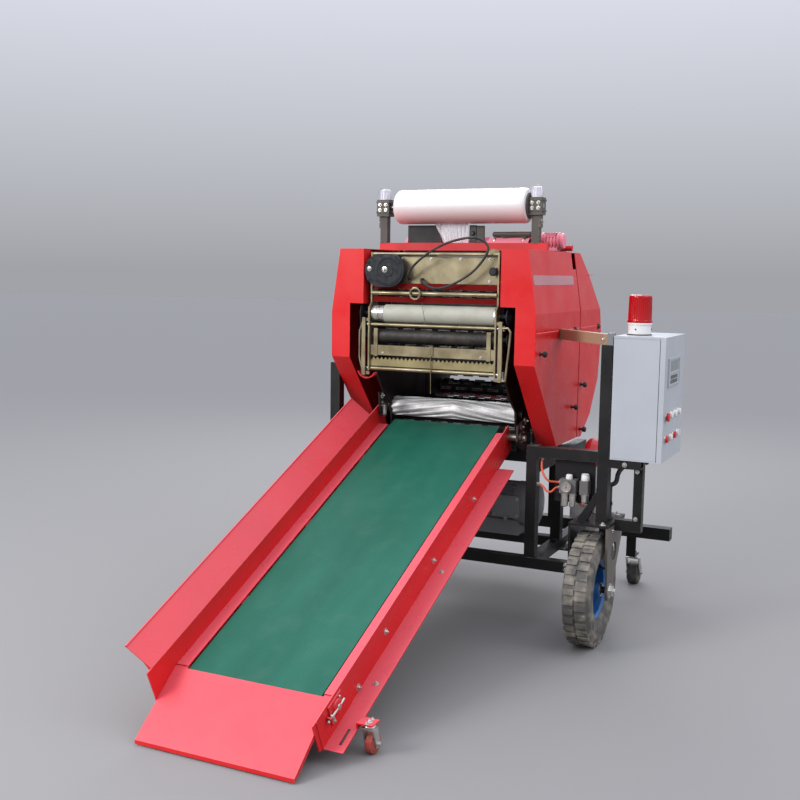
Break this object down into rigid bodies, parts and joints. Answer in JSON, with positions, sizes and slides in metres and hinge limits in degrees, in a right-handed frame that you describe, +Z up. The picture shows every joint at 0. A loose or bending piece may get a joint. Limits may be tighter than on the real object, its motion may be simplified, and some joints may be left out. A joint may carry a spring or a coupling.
{
  "type": "round_baler",
  "caption": "Small stationary round baler with a belt feed conveyor, a film binder, a film roll on a stand, a hinged tailgate, road wheels and a control cabinet",
  "frame": {"origin": "middle of the bounding box on the floor the wheels stand on", "axes": "+Z up; -Y is the way the feed conveyor points, so the tailgate is at +Y; +X is the side of the control cabinet"},
  "size_m": [1.638, 2.3202, 1.651],
  "materials": {
    "cover_red": "gloss red enamel",
    "chamber_red": "dark red enamel, worn",
    "frame_black": "satin black enamel",
    "roller_steel": "rolled steel, polished by the crop",
    "zinc_steel": "zinc plated",
    "guard_black": "moulded black",
    "cable_black": "smooth sheath",
    "press_rubber": "pale rubber lining",
    "dark_rubber": "dark rubber lining",
    "stand_grey": "satin grey enamel",
    "film_white": "stretch film wound tight",
    "tyre_rubber": "dusty black rubber",
    "rim_blue": "gloss blue enamel",
    "cabinet_grey": "light grey powder coat",
    "gear_plastic": "moulded device housings",
    "control_plastic": "push buttons and a display",
    "beacon_white": "moulded base",
    "beacon_red": "clear red lens",
    "motor_red": "red enamel",
    "motor_grey": "grey enamel",
    "gearbox_dark": "dark casting",
    "compressor_alu": "ribbed casting",
    "unit_alu": "machined blocks",
    "hose_orange": "air hose",
    "cylinder_grey": "satin grey enamel",
    "rod_chrome": "hard chrome",
    "belt_green": "green conveyor belt",
    "castor_red": "cast polyurethane",
    "castor_black": "ribbed black rubber"
  },
  "bodies": {
    "machine": {"base_frame": "frame_black", "chamber_sides": "chamber_red", "chamber_rollers": "roller_steel", "infeed_roller": "roller_steel", "cover_left": "cover_red", "cover_right": "cover_red", "top_hood": "cover_red", "binder_sides": "zinc_steel", "binder_bars": "zinc_steel", "binder_knife": "zinc_steel", "binder_guard": "guard_black", "binder_motor": "motor_red", "binder_cable": "cable_black", "roll_stand": "stand_grey", "film_tray": "stand_grey", "fork_left": "frame_black", "fork_right": "frame_black", "cabinet_stand": "frame_black", "cabinet_box": "cabinet_grey", "cabinet_gear": "gear_plastic", "beacon_base": "beacon_white", "beacon_lens": "beacon_red", "drive_motor": "motor_grey", "drive_gearbox": "gearbox_dark", "air_compressor": "compressor_alu", "air_unit": "unit_alu", "air_hoses": "hose_orange", "discharge_ramp": "cover_red", "tow_hitch": "frame_black", "rear_legs": "frame_black"},
    "wheel_left": {"tyre_left": "tyre_rubber", "rim_left": "rim_blue"},
    "wheel_right": {"tyre_right": "tyre_rubber", "rim_right": "rim_blue"},
    "conveyor": {"conveyor_frame": "cover_red", "feed_boards": "cover_red", "feed_belt": "belt_green", "conveyor_drums": "roller_steel", "apron_plate": "cover_red"},
    "front_fork_left": {"castor_fork_fl": "zinc_steel"},
    "front_fork_right": {"castor_fork_fr": "zinc_steel"},
    "front_castor_left": {"castor_wheel_fl": "castor_red"},
    "front_castor_right": {"castor_wheel_fr": "castor_red"},
    "rear_fork_left": {"castor_fork_rl": "zinc_steel"},
    "rear_fork_right": {"castor_fork_rr": "zinc_steel"},
    "rear_castor_left": {"castor_wheel_rl": "castor_black"},
    "rear_castor_right": {"castor_wheel_rr": "castor_black"},
    "tailgate": {"tailgate_shell": "chamber_red", "tailgate_rollers": "roller_steel", "tailgate_covers": "cover_red"},
    "cylinder_left": {"barrel_left": "cylinder_grey"},
    "cylinder_right": {"barrel_right": "cylinder_grey"},
    "piston_left": {"rod_left": "rod_chrome"},
    "piston_right": {"rod_right": "rod_chrome"},
    "door": {"cabinet_door": "cabinet_grey", "door_controls": "control_plastic"},
    "film_reel": {"film_roll": "film_white", "roll_spindle": "roller_steel"},
    "press": {"press_roller": "press_rubber"},
    "film_guide": {"film_roller": "dark_rubber"}
  },
  "joints": [
    {"name": "wheel_left_spin", "type": "hinge", "parent": "machine", "child": "wheel_left", "pos_m": [-0.686, 0.26113, 0.205], "axis": [1, 0, 0], "continuous": true},
    {"name": "wheel_right_spin", "type": "hinge", "parent": "machine", "child": "wheel_right", "pos_m": [0.568, 0.26113, 0.205], "axis": [1, 0, 0], "continuous": true},
    {"name": "conveyor_lift", "type": "hinge", "parent": "machine", "child": "conveyor", "pos_m": [-0.059, 0.38913, 0.709], "axis": [-1, 0, 0], "range_deg": [0, 20]},
    {"name": "front_swivel_left", "type": "hinge", "parent": "conveyor", "child": "front_fork_left", "pos_m": [-0.405, -0.91938, 0.094], "axis": [0, 0, 1], "continuous": true},
    {"name": "front_swivel_right", "type": "hinge", "parent": "conveyor", "child": "front_fork_right", "pos_m": [0.287, -0.91938, 0.094], "axis": [0, 0, 1], "continuous": true},
    {"name": "front_castor_left_spin", "type": "hinge", "parent": "front_fork_left", "child": "front_castor_left", "pos_m": [-0.405, -0.89938, 0.03], "axis": [1, 0, 0], "continuous": true},
    {"name": "front_castor_right_spin", "type": "hinge", "parent": "front_fork_right", "child": "front_castor_right", "pos_m": [0.287, -0.89938, 0.03], "axis": [1, 0, 0], "continuous": true},
    {"name": "rear_swivel_left", "type": "hinge", "parent": "machine", "child": "rear_fork_left", "pos_m": [-0.649, 1.08213, 0.134], "axis": [0, 0, 1], "continuous": true},
    {"name": "rear_swivel_right", "type": "hinge", "parent": "machine", "child": "rear_fork_right", "pos_m": [0.531, 1.08213, 0.134], "axis": [0, 0, 1], "continuous": true},
    {"name": "rear_castor_left_spin", "type": "hinge", "parent": "rear_fork_left", "child": "rear_castor_left", "pos_m": [-0.649, 1.11213, 0.048], "axis": [1, 0, 0], "continuous": true},
    {"name": "rear_castor_right_spin", "type": "hinge", "parent": "rear_fork_right", "child": "rear_castor_right", "pos_m": [0.531, 1.11213, 0.048], "axis": [1, 0, 0], "continuous": true},
    {"name": "tailgate_lift", "type": "hinge", "parent": "machine", "child": "tailgate", "pos_m": [-0.059, 0.76813, 1.43], "axis": [1, 0, 0], "range_deg": [0, 55]},
    {"name": "cylinder_left_swing", "type": "hinge", "parent": "machine", "child": "cylinder_left", "pos_m": [-0.399, 0.51113, 0.7], "axis": [1, 0, 0], "range_deg": [-3, 3]},
    {"name": "cylinder_right_swing", "type": "hinge", "parent": "machine", "child": "cylinder_right", "pos_m": [0.281, 0.51113, 0.7], "axis": [1, 0, 0], "range_deg": [-3, 3]},
    {"name": "piston_left_stroke", "type": "slide", "parent": "cylinder_left", "child": "piston_left", "axis": [0, 0.5285, 0.8489], "range_m": [0, 0.1775]},
    {"name": "piston_right_stroke", "type": "slide", "parent": "cylinder_right", "child": "piston_right", "axis": [0, 0.5285, 0.8489], "range_m": [0, 0.1775]},
    {"name": "cabinet_door_swing", "type": "hinge", "parent": "machine", "child": "door", "pos_m": [0.796, 0.59213, 0.8], "axis": [0, 0, 1], "range_deg": [0, 110]},
    {"name": "film_roll_spin", "type": "hinge", "parent": "machine", "child": "film_reel", "pos_m": [-0.059, 0.50913, 1.583], "axis": [1, 0, 0], "continuous": true},
    {"name": "press_roller_spin", "type": "hinge", "parent": "machine", "child": "press", "pos_m": [-0.059, 0.25713, 1.168], "axis": [1, 0, 0], "continuous": true},
    {"name": "film_roller_spin", "type": "hinge", "parent": "machine", "child": "film_guide", "pos_m": [-0.059, 0.25713, 1.084], "axis": [1, 0, 0], "continuous": true}
  ],
  "couplings": [
    {"joint": "piston_left_stroke", "follows": "tailgate_lift", "m_per_rad": 0.18278},
    {"joint": "cylinder_left_swing", "follows": "tailgate_lift", "ratio": -0.002265},
    {"joint": "piston_right_stroke", "follows": "tailgate_lift", "m_per_rad": 0.18278},
    {"joint": "cylinder_right_swing", "follows": "tailgate_lift", "ratio": -0.002265}
  ]
}
